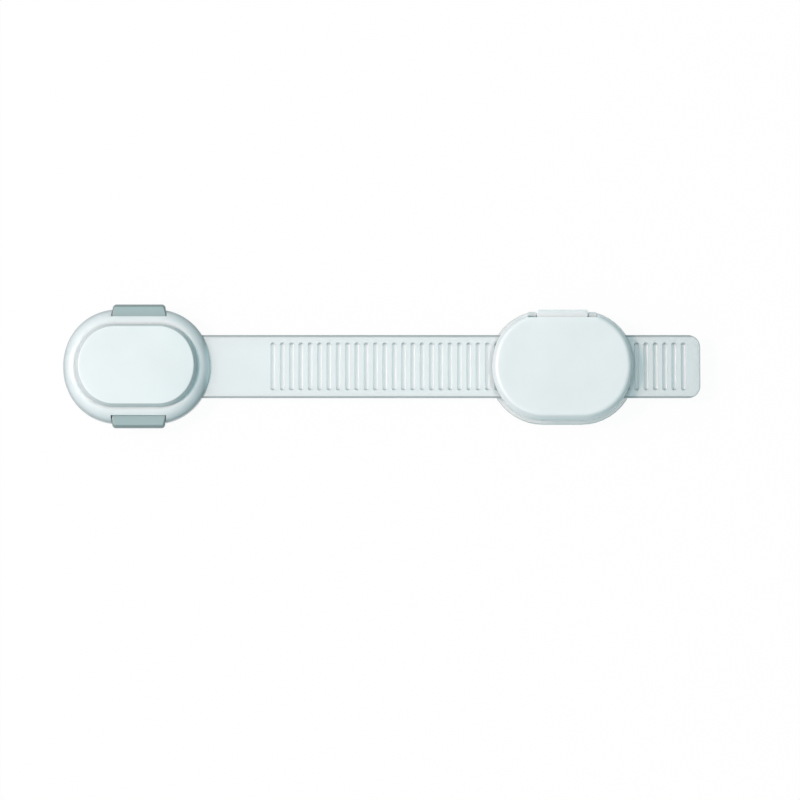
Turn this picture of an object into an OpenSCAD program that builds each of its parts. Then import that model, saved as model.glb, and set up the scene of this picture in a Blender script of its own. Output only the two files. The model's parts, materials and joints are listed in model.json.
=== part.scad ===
// Cabinet safety lock: a squeeze-release latch and an adjustable anchor, joined by a clear ladder strap.
// The strap runs along X, the adhesive faces lie on Z = 0, and the origin is the middle of the footprint.

/* [Pucks] */
// Length of each puck along the strap
puck_l = 44.2; // [42:0.1:52]
// Width of each puck across the strap
puck_w = 34.4; // [34:0.1:42]
// Radius of the four corner arcs of the puck outline
corner_r = 16.5; // [12:0.1:16.5]
// How much the radius of the end arcs exceeds half the width
end_extra = 2.3; // [1:0.1:5]
// Distance between the centres of the two pucks
puck_spacing = 127.8; // [105:0.1:180]
// Thickness of the foam adhesive pads
pad_t = 1; // [0.8:0.1:2]

/* [Strap] */
// Width of the strap
strap_w = 19; // [16:0.1:20]
// Thickness of the strap
strap_t = 1.6; // [1.4:0.1:2]
// Length of strap from the centre of the anchor to the tail end
tail_l = 41.4; // [32:0.1:60]
// Corner radius of the tail
tail_r = 3.6; // [1:0.1:6]
// Plain length between the latch and the middle of the first pocket
plain_l = 18.8; // [8:0.1:30]
// Plain length between the last pocket and the tail end
tail_plain_l = 3.9; // [3:0.1:8]
// Length of a ladder pocket across the strap
pocket_l = 14.5; // [13:0.1:15]
// Width of a ladder pocket along the strap
pocket_w = 1.5; // [1.2:0.1:1.8]
// Distance from one pocket to the next
pocket_pitch = 2.8; // [2.5:0.1:3.6]
// Depth of a ladder pocket
pocket_depth = 0.8; // [0.6:0.1:1]

/* [Latch] */
// Thickness of the base plate under the latch
base_t = 1.6; // [1.4:0.1:3]
// Wall of the latch housing
wall = 1.8; // [1.4:0.1:2]
// Thickness of the floor of the latch head
floor_t = 1.5; // [1.2:0.1:2]
// Inside height of the latch head
cavity_h = 3.35; // [3.2:0.05:6]
// Thickness of the roof under the raised panel
roof_t = 0.9; // [0.8:0.1:2]
// How far the shoulder of the rim reaches in
shoulder_run = 2.9; // [2:0.1:3]
// Height of the rounded shoulder
shoulder_rise = 2.8; // [1.5:0.1:3]
// Distance from the puck end to the raised panel
panel_end_inset = 3.9; // [3.8:0.05:6]
// Distance from the puck side to the raised panel
panel_side_inset = 4.7; // [4.6:0.1:7]
// Height of the raised panel above its seat
panel_h = 2.7; // [1.5:0.1:4]
// Edge radius of the raised panel
panel_edge_r = 1; // [0.5:0.1:1.4]

/* [Buttons] */
// Width of a squeeze button
button_w = 16.5; // [14:0.1:17]
// How far a button stands out of the puck
button_proud = 1.5; // [1:0.1:3]
// Travel of a button
button_travel = 2; // [1.6:0.1:2.2]
// Offset of the buttons from the middle of the latch, towards the strap
button_shift = 0.7; // [0:0.1:1]
// Outside diameter of a return spring
spring_d = 2.4; // [2.2:0.1:2.6]
// Wire diameter of a return spring
spring_wire = 0.4; // [0.3:0.05:0.5]
// Length of a return spring at rest
spring_l = 6; // [5.5:0.1:6.5]
// Number of curls of a return spring
spring_curls = 4; // [3:1:4]

/* [Anchor] */
// Thickness of the anchor base flange
flange_t = 2.2; // [1.8:0.1:2.6]
// Height of the anchor cover above the strap
cover_rise = 4.65; // [4.4:0.05:7]
// Wall of the anchor cover
cover_wall = 1.6; // [1.2:0.1:2]
// Edge radius of the anchor cover
cover_edge_r = 2; // [1.5:0.1:3]
// Length of the hinge knuckle on the cover
knuckle_l = 15.2; // [12:0.1:16]
// Radius of the hinge knuckle
knuckle_r = 1.7; // [1.6:0.05:1.8]
// Radius of the hinge pin
pin_r = 0.5; // [0.4:0.05:0.6]

/* [Hidden] */
$fn = 48;

// How far every cut runs past the face that it opens
overrun = 0.5;
// Gap between pieces that are fixed together
fit = 0.1;
// Gap between pieces that slide or lift apart
slide_gap = 0.3;
// Radial clearance of the hinge pin in the knuckle that turns on it
pin_play = 0.05;
// Radial clearance of the hinge pin in the ears that hold it
pin_hold = 0.02;
// Steps along each corner arc, each end arc and each rounded edge
corner_steps = 9;
end_steps = 10;
edge_steps = 5;
// Powers of an edge's curve: 1 is round, and 2 would be a straight slope
round_slant = 1;
shoulder_slant = 1.3;

// Places along the strap
puck_hl = puck_l / 2;
puck_hw = puck_w / 2;
corner_room = 1;
corner_fit_r = min(corner_r, puck_hw - corner_room);
puck_corner = corner_middle(puck_l, puck_w, corner_fit_r, end_extra);
latch_x = (puck_hl - puck_spacing - tail_l) / 2;
anchor_x = latch_x + puck_spacing;
tail_x = anchor_x + tail_l;

// Heights of the latch, from the mounting surface up
seat_gap = 0.15;
z_pad = pad_t;
z_base = z_pad + base_t;
z_head = z_base + seat_gap;
z_floor = z_head + floor_t;
z_roof = z_floor + cavity_h;
z_seat = z_roof + roof_t;
crest_h = 0.25;
z_crest = z_seat + crest_h;
z_panel = z_seat + panel_h;

// Insets of the pads and the base plate from the puck outline
pad_inset = 1.6;
base_inset = 0.5;

// Raised panel of the latch
panel_l = puck_l - 2 * panel_end_inset;
panel_w = puck_w - 2 * panel_side_inset;
panel_corner_gap = 1.3;
panel_corner_r = panel_w / 2 - panel_corner_gap;
panel_end_extra = 1;
panel_crown = 0.3;
moat_w = 0.3;
plug_inset = 3;

// Catch clip and the opening in the floor that its barbs hook over
clip_l = 8;
clip_t = 1.1;
clip_sink = 0.8;
arm_y = 3.5;
arm_t = 1.1;
arm_room = 1;
hook_reach = 0.9;
hook_gap = 0.2;
hook_lip = 0.5;
hook_h = 2.1;
opening_y = arm_y + arm_t + arm_room;
barb_y = opening_y + hook_reach;
z_clip = z_base - clip_sink;
z_hook = z_floor + hook_gap;
island_wall = 0.8;
island_h = 1;
island_l = clip_l + 2 * (fit + island_wall);
island_w = 2 * (opening_y - slide_gap);
opening_l = island_l + 2 * slide_gap;

// Buttons: a cap in the window, a flange behind the wall and a stem that pushes the barb
button_gap = 0.2;
z_button = z_floor + button_gap;
button_top_gap = 0.3;
z_button_top = z_roof - button_top_gap;
z_button_mid = (z_button + z_button_top) / 2;
button_taper = 0.45;
button_corner_r = 1.1;
button_edge_r = 1.2;
window_gap = 0.25;
window_run = 2.15;
window_y = min(puck_hw - window_run,
    puck_y(button_w / 2 + window_gap + button_shift, wall) - window_gap);
button_flange_ear = 1.6;
button_flange_t = 1.75;
button_flange_hl = button_w / 2 + button_flange_ear;
button_flange_y = puck_y(button_flange_hl + button_shift, wall) - button_gap;
button_y = puck_hw + button_proud;
stem_l = 8.4;
release_room = 0.6;
stem_y = opening_y + button_travel - release_room;

// Return springs between the flange and a post on the floor
spring_x = 7.6;
spring_sides = 6;
curl_rings = 8;
spring_path_r = (spring_d - spring_wire) / 2;
spring_seat_y = button_flange_y - button_flange_t - spring_l;
post_w = 3.2;
post_t = 1.3;
post_peg_gap = 0.25;
post_peg_r = spring_d / 2 - spring_wire - post_peg_gap;
post_peg_l = 1.2;

// Strap and its pockets
strap_z = z_floor + fit;
z_strap = strap_z + strap_t;
strap_end_gap = 1.15;
strap_in_x = latch_x + button_shift + button_flange_hl + strap_end_gap;
strap_peg_in = 2.3;
strap_peg_y = 5.5;
strap_peg_r = 1.5;
first_pocket_x = latch_x + puck_hl + plain_l;
pocket_count = floor((tail_x - tail_plain_l - first_pocket_x) / pocket_pitch) + 1;
pocket_chamfer = 0.4;
mouth_gap = 0.25;

// Anchor: a flange, a strap channel with guide walls, and a hinged cover
z_flange = z_pad + flange_t;
flange_edge_r = 0.6;
cover_inset = 1;
guide_gap = 0.3;
guide_y = strap_w / 2 + guide_gap;
guide_t = 1.5;
guide_end_room = 2;
guide_l = 2 * (puck_x(guide_y + guide_t, cover_inset + cover_wall) - guide_end_room);
z_cover = z_flange + slide_gap;
z_cover_top = z_strap + cover_rise;
z_cover_roof = z_cover_top - cover_wall;
cover_mouth_gap = 0.3;
cover_mouth_y = guide_y + cover_mouth_gap;
cover_mouth_rise = 0.45;

// Hinge of the cover, at the rear of the puck and clear of the guide walls
knuckle_sink_share = 0.8;
knuckle_sink = knuckle_r * knuckle_sink_share;
hinge_y = max(puck_hw - knuckle_r, guide_y + guide_t + slide_gap + cover_wall + knuckle_sink);
hinge_z = z_cover + knuckle_r;
ear_wall = 0.5;
ear_r = pin_r + ear_wall;
ear_t = 2.3;
ear_post_share = 0.85;
ear_in = knuckle_l / 2 + slide_gap;
ear_out = ear_in + ear_t;
notch_room = 0.4;
notch_hl = ear_out + notch_room;
cover_back_y = hinge_y - knuckle_sink;
arm_low_share = 0.3;
arm_high_share = 0.8;

// Catch that keeps the cover shut, and the thumb recess in front of it
catch_l = 9;
catch_t = 1.2;
catch_gap = 0.15;
catch_h = 3.3;
catch_y = puck_hw - cover_inset - cover_wall - catch_gap;
thumb_l = 13;
thumb_depth_share = 0.5;
thumb_h = 3.2;

// Pawl: a crossbar held in the guide walls and a tongue with teeth in the nearest pockets
pawl_t = 0.8;
pawl_rise = 0.75;
pawl_w = 12;
pawl_l = 13;
pawl_tip = 1.4;
pawl_offset = 5;
bar_w = 3;
tooth_count = 3;
tooth_gap = 0.25;
tooth_clear = 0.2;
press_rib_t = 2;
press_gap = 0.2;
z_pawl = z_strap + pawl_rise;
z_pawl_top = z_pawl + pawl_t;
z_tooth = z_strap - pocket_depth + tooth_clear;
tooth_l = pocket_l - 2 * (pocket_chamfer + tooth_gap);
tooth_w = pocket_w - 2 * tooth_gap;
tooth_x = pocket_x(round((anchor_x - pawl_offset - first_pocket_x) / pocket_pitch));
bar_x = tooth_x + pawl_l;

// Middle of a ladder pocket, counted from the latch
function pocket_x(index) = first_pocket_x + index * pocket_pitch;

// Points of an arc from one angle to another, with or without the last one
function arc(middle, r, from, to, steps, closed) = [
    for (k = [0 : steps - (closed ? 0 : 1)])
        let (turn = from + (to - from) * k / steps)
        middle + r * [cos(turn), sin(turn)]
];

// Centre of the corner arc that runs smoothly from a flat side into an end arc
function corner_middle(l, w, r, extra) =
    [(l - w) / 2 - extra + sqrt(pow(w / 2 + extra - r, 2) - pow(w / 2 - r, 2)), w / 2 - r];

// Closed outline of flat sides, four corner arcs and two end arcs, drawn in by an inset
function oval(l, w, r, extra, inset) =
    let (
        end_x = (l - w) / 2 - extra,
        corner = corner_middle(l, w, r, extra),
        split = atan2(corner.y, corner.x - end_x),
        end_in = w / 2 + extra - inset,
        corner_in = r - inset
    )
    concat(
        arc([end_x, 0], end_in, -split, split, end_steps, false),
        arc(corner, corner_in, split, 90, corner_steps, true),
        arc([-corner.x, corner.y], corner_in, 90, 180 - split, corner_steps, false),
        arc([-end_x, 0], end_in, 180 - split, 180 + split, end_steps, false),
        arc(-corner, corner_in, 180 + split, 270, corner_steps, true),
        arc([corner.x, -corner.y], corner_in, 270, 360 - split, corner_steps, false)
    );

function puck(inset) = oval(puck_l, puck_w, corner_fit_r, end_extra, inset);
function panel(inset) = oval(panel_l, panel_w, panel_corner_r, panel_end_extra, inset);

// Half width of the puck outline at a place along it, on the flat side or the corner arc
function puck_y(x, inset) =
    let (past = max(0, abs(x) - puck_corner.x))
    puck_corner.y + sqrt(pow(corner_fit_r - inset, 2) - pow(past, 2));

// Half length of the puck outline at a place across it, on the corner arc
function puck_x(y, inset) =
    puck_corner.x + sqrt(pow(corner_fit_r - inset, 2) - pow(y - puck_corner.y, 2));

// Steps of a rounded edge, each an inset and a height above the start of the edge
function edge(run, rise, slant = round_slant) = [
    for (k = [0 : edge_steps])
        let (turn = 90 * k / edge_steps)
        [run * (1 - pow(cos(turn), slant)), rise * pow(sin(turn), slant)]
];

// Solid through a list of rings of equal counts, each a list of points and a height
module loft(rings) {
    count = len(rings[0][0]);
    last = len(rings) - 1;
    polyhedron(
        points = [for (ring = rings) for (p = ring[0]) [p.x, p.y, ring[1]]],
        faces = concat(
            [[for (i = [0 : count - 1]) i]],
            [[for (i = [count - 1 : -1 : 0]) last * count + i]],
            [for (k = [0 : last - 1]) for (i = [0 : count - 1])
                [k * count + i, (k + 1) * count + i, (k + 1) * count + (i + 1) % count]],
            [for (k = [0 : last - 1]) for (i = [0 : count - 1])
                [k * count + i, (k + 1) * count + (i + 1) % count, k * count + (i + 1) % count]]
        )
    );
}

// Upright prism of an outline between two heights
module prism(outline, low, high) {
    translate([0, 0, low]) linear_extrude(high - low) polygon(outline);
}

// Box between two corners
module box(low, high) {
    translate(low) cube(high - low);
}

// Box centred on the strap's middle plane, between two heights
module block(l, w, low, high) {
    box([-l / 2, -w / 2, low], [l / 2, w / 2, high]);
}

// Profile in Y and Z, drawn out along X and centred there
module along_x(outline, l) {
    rotate([90, 0, 90]) linear_extrude(l, center = true) polygon(outline);
}

// Round bar along X, centred on a place
module bar_along_x(r, l, y, z) {
    translate([0, y, z]) rotate([0, 90, 0]) cylinder(r = r, h = l, center = true);
}

// Round peg that points outwards along Y on one side
module peg_along_y(r, x, from, to, z, side) {
    translate([x, side * from, z]) rotate([-90 * side, 0, 0]) cylinder(r = r, h = to - from);
}

// Middle line of a spring: a straight stub, the curls and another straight stub
function spring_path() = concat(
    [[spring_path_r, 0, 0]],
    [for (k = [0 : curl_rings * spring_curls])
        let (turn = 360 * k / curl_rings)
        [spring_path_r * cos(turn), spring_path_r * sin(turn),
            spring_wire + (spring_l - 2 * spring_wire) * k / (curl_rings * spring_curls)]],
    [[spring_path_r, 0, spring_l]]
);

// Least gap of a tube to itself, between points over half a curl apart
function least_gap(path, wire) = min([
    for (i = [0 : len(path) - 1]) for (j = [i + curl_rings / 2 + 1 : 1 : len(path) - 1])
        norm(path[j] - path[i]) - wire
]);

function unit(v) = v / norm(v);

// Ring of points round the spring's middle line, square to it
function wire_ring(path, k) =
    let (
        before = path[max(0, k - 1)],
        after = path[min(len(path) - 1, k + 1)],
        here = path[k],
        heading = unit(after - before),
        outward = unit([here.x, here.y, 0]),
        across = unit(outward - (outward * heading) * heading),
        upward = cross(heading, across)
    )
    [for (s = [0 : spring_sides - 1])
        let (turn = 360 * s / spring_sides)
        here + spring_wire / 2 * (across * cos(turn) + upward * sin(turn))];

// Wound return spring along Z, as one tube
module coil() {
    path = spring_path();
    last = len(path) - 1;
    n = spring_sides;
    polyhedron(
        points = [for (k = [0 : last]) each wire_ring(path, k)],
        faces = concat(
            [for (s = [1 : n - 2]) [0, s, s + 1]],
            [for (s = [1 : n - 2]) [last * n, last * n + s + 1, last * n + s]],
            [for (k = [0 : last - 1]) for (s = [0 : n - 1])
                [k * n + s, (k + 1) * n + s, (k + 1) * n + (s + 1) % n]],
            [for (k = [0 : last - 1]) for (s = [0 : n - 1])
                [k * n + s, (k + 1) * n + (s + 1) % n, k * n + (s + 1) % n]]
        )
    );
}

// Spring in its place: side is 1 at the rear and -1 at the front, hand is -1 on the left and 1 on the right
module return_spring(side, hand) {
    color("silver")
        translate([latch_x + button_shift + hand * spring_x, side * spring_seat_y, z_button_mid])
            rotate([-90 * side, 0, 0]) coil();
}

// Foam pad of a puck
module adhesive_pad(x) {
    color("gainsboro") translate([x, 0, 0]) prism(puck(pad_inset), 0, z_pad);
}

module latch_adhesive_pad() { adhesive_pad(latch_x); }

module anchor_adhesive_pad() { adhesive_pad(anchor_x); }

// Plate that stays on the surface, with a raised frame that holds the clip and centres the head
module latch_base() {
    color("whitesmoke") translate([latch_x, 0, 0]) difference() {
        union() {
            prism(puck(base_inset), z_pad, z_base);
            block(island_l, island_w, z_clip, z_base + island_h);
        }
        block(clip_l + 2 * fit, 2 * (arm_y + arm_t + fit), z_clip, z_base + island_h + overrun);
    }
}

// Springy U with a barb on each arm
module catch_clip() {
    arm_out = arm_y + arm_t;
    half = [
        [arm_out, z_clip],
        [arm_out, z_hook],
        [barb_y, z_hook],
        [barb_y, z_hook + hook_lip],
        [arm_out, z_hook + hook_h],
        [arm_y, z_hook + hook_h],
        [arm_y, z_clip + clip_t],
    ];
    other = [for (k = [len(half) - 1 : -1 : 0]) [-half[k].x, half[k].y]];
    color("ivory") translate([latch_x, 0, 0]) along_x(concat(half, other), clip_l);
}

// Floor of the head: an opening for the clip, posts for the springs and pegs for the strap
module latch_floor() {
    color("whitesmoke") difference() {
        union() {
            translate([latch_x, 0, 0]) prism(puck(wall + fit), z_head, z_floor);
            for (side = [-1, 1]) {
                for (hand = [-1, 1]) spring_post(side, hand);
                translate([strap_in_x + strap_peg_in, side * strap_peg_y, z_head])
                    cylinder(r = strap_peg_r, h = z_roof - button_top_gap - z_head);
            }
        }
        translate([latch_x, 0, 0])
            block(opening_l, 2 * opening_y, z_head - overrun, z_floor + overrun);
    }
}

// Post with a peg that carries the inner end of a return spring
module spring_post(side, hand) {
    x = latch_x + button_shift + hand * spring_x;
    translate([x, side * (spring_seat_y - post_t / 2), 0])
        block(post_w, post_t, z_head, z_button_mid + spring_d / 2);
    peg_along_y(post_peg_r, x, spring_seat_y - post_t / 2, spring_seat_y + post_peg_l, z_button_mid, side);
}

// Rim and roof of the latch head
module latch_housing() {
    z_shoulder = z_crest - shoulder_rise;
    rings = concat(
        [[puck(0), z_head]],
        [for (step = edge(shoulder_run, shoulder_rise, shoulder_slant)) [puck(step.x), z_shoulder + step.y]],
        [[panel(-moat_w), z_seat]]
    );
    color("white") translate([latch_x, 0, 0]) difference() {
        loft(rings);
        prism(puck(wall), z_head - overrun, z_roof);
        prism(panel(plug_inset - fit), z_roof - overrun, z_seat + overrun);
        for (side = [-1, 1]) button_window(side);
        box([strap_in_x - latch_x, -strap_w / 2 - mouth_gap, z_floor],
            [puck_hl + overrun, strap_w / 2 + mouth_gap, z_strap + mouth_gap]);
    }
}

// Plan of a button window, which narrows outwards with the cap
function window_plan() =
    let (
        low_x = button_w / 2 + window_gap,
        wall_y = puck_hw - wall,
        end_y = puck_hw + overrun,
        end_x = low_x - button_taper * (end_y - wall_y) / (button_y - button_corner_r - wall_y)
    )
    [[-low_x, window_y], [low_x, window_y], [low_x, wall_y],
        [end_x, end_y], [-end_x, end_y], [-low_x, wall_y]];

// Window that a button slides in, open at the top
module button_window(side) {
    mirror([0, side < 0 ? 1 : 0, 0])
        translate([button_shift, 0, 0]) prism(window_plan(), z_floor, z_crest + overrun);
}

// Raised panel with a rounded edge and a plug below it
module latch_cover() {
    z_edge = z_panel - panel_crown - panel_edge_r;
    crown_inset = panel_corner_r / 2;
    rings = concat(
        [[panel(0), z_seat]],
        [for (step = edge(panel_edge_r, panel_edge_r)) [panel(step.x), z_edge + step.y]],
        [[panel(crown_inset), z_panel]]
    );
    color("white") translate([latch_x, 0, 0]) union() {
        loft(rings);
        prism(panel(plug_inset), z_roof + fit, z_seat + overrun);
    }
}

// Plan of a button cap, narrower and round-cornered at its outer end
function cap_plan() =
    let (
        low_x = button_w / 2,
        corner_x = low_x - button_taper - button_corner_r,
        corner_y = button_y - button_corner_r,
        inner_y = button_flange_y - button_flange_t
    )
    concat(
        [[-low_x, inner_y], [low_x, inner_y], [low_x, puck_hw - wall]],
        arc([corner_x, corner_y], button_corner_r, 0, 90, edge_steps, true),
        arc([-corner_x, corner_y], button_corner_r, 90, 180, edge_steps, true),
        [[-low_x, puck_hw - wall]]
    );

// Side view of a button cap, with its outer edges rounded
function cap_side() =
    let (inner_y = button_flange_y - button_flange_t, edge_y = button_y - button_edge_r)
    concat(
        [[inner_y, z_button]],
        arc([edge_y, z_button + button_edge_r], button_edge_r, -90, 0, edge_steps, true),
        arc([edge_y, z_button_top - button_edge_r], button_edge_r, 0, 90, edge_steps, true),
        [[inner_y, z_button_top]]
    );

// Squeeze button: side is 1 at the rear and -1 at the front
module button(side) {
    inner_y = button_flange_y - button_flange_t;
    color("darkseagreen") translate([latch_x + button_shift, 0, 0])
        mirror([0, side < 0 ? 1 : 0, 0]) union() {
            intersection() {
                prism(cap_plan(), z_button, z_button_top);
                along_x(cap_side(), button_w);
            }
            box([-button_flange_hl, inner_y, z_button], [button_flange_hl, button_flange_y, z_button_top]);
            box([-stem_l / 2, stem_y, z_button], [stem_l / 2, button_flange_y, z_button_top]);
            for (hand = [-1, 1])
                translate([hand * spring_x, inner_y + overrun, z_button_mid]) rotate([90, 0, 0])
                    cylinder(r = post_peg_r, h = post_peg_l + overrun);
        }
}

module rear_button() { button(1); }

module front_button() { button(-1); }

module rear_spring_left() { return_spring(1, -1); }

module rear_spring_right() { return_spring(1, 1); }

module front_spring_left() { return_spring(-1, -1); }

module front_spring_right() { return_spring(-1, 1); }

// Plan of the strap, square in the latch and round-cornered at the tail
function strap_plan() = concat(
    [[strap_in_x, strap_w / 2], [strap_in_x, -strap_w / 2]],
    arc([tail_x - tail_r, tail_r - strap_w / 2], tail_r, -90, 0, edge_steps, true),
    arc([tail_x - tail_r, strap_w / 2 - tail_r], tail_r, 0, 90, edge_steps, true)
);

// Plan of a ladder pocket, a slot with its corners taken off
function pocket_plan() =
    let (x = pocket_w / 2, y = pocket_l / 2, c = pocket_chamfer)
    [[x, c - y], [x, y - c], [x - c, y], [c - x, y], [-x, y - c], [-x, c - y], [c - x, -y], [x - c, -y]];

// Ladder strap
module strap() {
    color("aliceblue") difference() {
        prism(strap_plan(), strap_z, z_strap);
        for (k = [0 : pocket_count - 1])
            translate([pocket_x(k), 0, 0])
                prism(pocket_plan(), z_strap - pocket_depth, z_strap + overrun);
        for (side = [-1, 1])
            translate([strap_in_x + strap_peg_in, side * strap_peg_y, strap_z - overrun])
                cylinder(r = strap_peg_r + fit, h = strap_t + 2 * overrun);
    }
}

// Anchor base: flange, strap channel, guide walls, hinge ears and the cover's catch
module anchor_base() {
    color("azure") translate([anchor_x, 0, 0]) difference() {
        union() {
            anchor_flange();
            intersection() {
                block(puck_l, 2 * guide_y, z_pad, z_floor);
                prism(puck(cover_inset), z_pad, z_floor);
            }
            for (side = [-1, 1]) mirror([0, side < 0 ? 1 : 0, 0])
                box([-guide_l / 2, guide_y, z_pad], [guide_l / 2, guide_y + guide_t, z_pawl_top]);
            for (hand = [-1, 1]) hinge_ear(hand);
            box([-catch_l / 2, -catch_y, z_pad], [catch_l / 2, catch_t - catch_y, z_flange + catch_h]);
        }
        bar_along_x(pin_r + pin_hold, 2 * (ear_out + overrun), hinge_y, hinge_z);
        translate([bar_x - anchor_x, 0, 0])
            block(bar_w + 2 * fit, 2 * (guide_y + guide_t + overrun), z_pawl, z_pawl_top + overrun);
    }
}

// Plate of the anchor base, cut back behind the hinge
module anchor_flange() {
    z_edge = z_flange - flange_edge_r;
    difference() {
        loft(concat(
            [[puck(0), z_pad]],
            [for (step = edge(flange_edge_r, flange_edge_r)) [puck(step.x), z_edge + step.y]]
        ));
        box([-notch_hl, hinge_y + ear_r, z_pad - overrun],
            [notch_hl, max(puck_hw, hinge_y + ear_r) + overrun, z_flange + overrun]);
    }
}

// Ear of the hinge on a post: hand is -1 on the left and 1 on the right
module hinge_ear(hand) {
    middle = hand * (ear_in + ear_out) / 2;
    post_hw = ear_r * ear_post_share;
    translate([middle, 0, 0]) {
        bar_along_x(ear_r, ear_t, hinge_y, hinge_z);
        box([-ear_t / 2, hinge_y - post_hw, z_pad], [ear_t / 2, hinge_y + post_hw, hinge_z]);
    }
}

// Flexing pawl: crossbar, tongue and teeth
module strap_pawl() {
    first = tooth_x - pocket_pitch * (tooth_count - 1) / 2;
    color("ivory") union() {
        translate([bar_x, 0, 0]) block(bar_w, 2 * (guide_y + guide_t), z_pawl, z_pawl_top);
        box([first - pawl_tip, -pawl_w / 2, z_pawl], [bar_x, pawl_w / 2, z_pawl_top]);
        for (k = [0 : tooth_count - 1])
            translate([first + k * pocket_pitch, 0, 0])
                block(tooth_w, min(tooth_l, pawl_w), z_tooth, z_pawl_top);
    }
}

// Hinged cover with strap mouths at both ends, a knuckle at the rear and a thumb recess at the front
module anchor_cover() {
    color("white") translate([anchor_x, 0, 0]) difference() {
        union() {
            cover_shell();
            translate([tooth_x - anchor_x, 0, 0])
                block(press_rib_t, pawl_w, z_pawl_top + press_gap, z_cover_roof + overrun);
            bar_along_x(knuckle_r, knuckle_l, hinge_y, hinge_z);
            box([-knuckle_l / 2, cover_back_y - overrun, hinge_z - knuckle_r * arm_low_share],
                [knuckle_l / 2, hinge_y, hinge_z + knuckle_r * arm_high_share]);
        }
        bar_along_x(pin_r + pin_play, knuckle_l + 2 * overrun, hinge_y, hinge_z);
    }
}

// Shell of the cover, cut back for the hinge and open where the strap passes
module cover_shell() {
    z_edge = z_cover_top - cover_edge_r;
    front_y = puck_hw - cover_inset - cover_wall * thumb_depth_share;
    difference() {
        loft(concat(
            [[puck(cover_inset), z_cover]],
            [for (step = edge(cover_edge_r, cover_edge_r)) [puck(cover_inset + step.x), z_edge + step.y]]
        ));
        difference() {
            prism(puck(cover_inset + cover_wall), z_cover - overrun, z_cover_roof);
            box([-notch_hl - cover_wall, cover_back_y - cover_wall, z_cover - 2 * overrun],
                [notch_hl + cover_wall, puck_hw, z_cover_roof + overrun]);
        }
        box([-notch_hl, cover_back_y, z_cover - overrun], [notch_hl, puck_hw, z_cover_top + overrun]);
        block(puck_l + 2 * overrun, 2 * cover_mouth_y, z_cover - overrun, z_strap + cover_mouth_rise);
        box([-thumb_l / 2, -puck_hw, z_cover - overrun], [thumb_l / 2, -front_y, z_cover + thumb_h]);
    }
}

// Pin through the ears and the knuckle
module hinge_pin() {
    color("silver") translate([anchor_x, 0, 0]) bar_along_x(pin_r, 2 * ear_out, hinge_y, hinge_z);
}

echo(str("Least gap of a spring to itself: ", least_gap(spring_path(), spring_wire), " mm"));

latch_adhesive_pad();
latch_base();
catch_clip();
latch_floor();
latch_housing();
latch_cover();
rear_button();
front_button();
rear_spring_left();
rear_spring_right();
front_spring_left();
front_spring_right();
strap();
anchor_adhesive_pad();
anchor_base();
strap_pawl();
anchor_cover();
hinge_pin();
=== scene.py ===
"""Looks of a cabinet safety lock: a squeeze latch and a hinged anchor on a clear ladder strap.

Sizes are in millimetres and become metres where a piece is settled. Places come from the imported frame.
"""

from __future__ import annotations

import json
import logging
import math
from dataclasses import dataclass, replace
from enum import Enum
from typing import Optional, Sequence, Union

import bmesh
import bpy
from mathutils import Matrix, Vector


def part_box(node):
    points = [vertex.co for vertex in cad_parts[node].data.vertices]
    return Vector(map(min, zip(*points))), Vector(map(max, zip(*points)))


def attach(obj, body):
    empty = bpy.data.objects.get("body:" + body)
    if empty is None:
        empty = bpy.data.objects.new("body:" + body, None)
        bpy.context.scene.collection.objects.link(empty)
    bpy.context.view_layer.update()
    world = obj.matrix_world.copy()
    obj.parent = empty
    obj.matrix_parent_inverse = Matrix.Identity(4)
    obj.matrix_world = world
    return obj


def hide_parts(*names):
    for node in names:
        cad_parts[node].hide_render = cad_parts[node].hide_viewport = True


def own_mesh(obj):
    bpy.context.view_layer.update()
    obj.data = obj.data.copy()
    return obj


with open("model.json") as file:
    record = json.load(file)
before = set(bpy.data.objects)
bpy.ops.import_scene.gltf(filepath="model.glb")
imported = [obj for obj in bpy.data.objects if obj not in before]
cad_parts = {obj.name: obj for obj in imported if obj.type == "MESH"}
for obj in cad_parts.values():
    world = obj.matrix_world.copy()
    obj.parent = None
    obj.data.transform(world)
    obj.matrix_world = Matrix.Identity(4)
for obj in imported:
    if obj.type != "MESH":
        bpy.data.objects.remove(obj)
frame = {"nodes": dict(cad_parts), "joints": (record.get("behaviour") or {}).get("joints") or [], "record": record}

LOG = logging.getLogger("cabinet_lock")
MM = 0.001
OVERRUN = 0.5
MERGE_GAP = 0.001
FLAT_ANGLE = math.radians(1)
SMOOTH_ANGLE = math.radians(33)
ARC_STEPS = 14
FOOT_STEPS = 4
EDGE_SEGMENTS = 2
NOISE_MIDDLE = 0.5
SCREEN_MAX = 255
TOE_END, TOE_SLOPE = 0.04045, 12.92
CURVE_LIFT, CURVE_POWER = 0.055, 2.4
MIX_FACTOR, MIX_FIRST, MIX_SECOND, MIX_RESULT = 0, 6, 7, 2

Point = tuple[float, float]
Ring = list[Vector]
Colour = tuple[float, float, float]
WHITE: Colour = (1.0, 1.0, 1.0)


class Axis(Enum):
    """Axis of the frame, as its place among the coordinates."""

    X = 0
    Y = 1
    Z = 2


class Boolean(Enum):
    """What a boolean does with its tools."""

    JOIN = "UNION"
    CUT = "DIFFERENCE"


class Named(Enum):
    """Option whose name is part of the names of pieces."""

    @property
    def word(self) -> str:
        """Give the option's name in small letters."""
        return self.name.lower()


class Side(Named):
    """Side of the latch that a button is on, as its direction along Y."""

    REAR = 1
    FRONT = -1


class Hand(Named):
    """End of a button that a spring is at, as its direction along X."""

    LEFT = -1
    RIGHT = 1


def linear(channel: int) -> float:
    """Turn a screen channel, from 0 to 255, into its linear share."""
    share = channel / SCREEN_MAX
    return share / TOE_SLOPE if share <= TOE_END else ((share + CURVE_LIFT) / (1 + CURVE_LIFT)) ** CURVE_POWER


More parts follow.
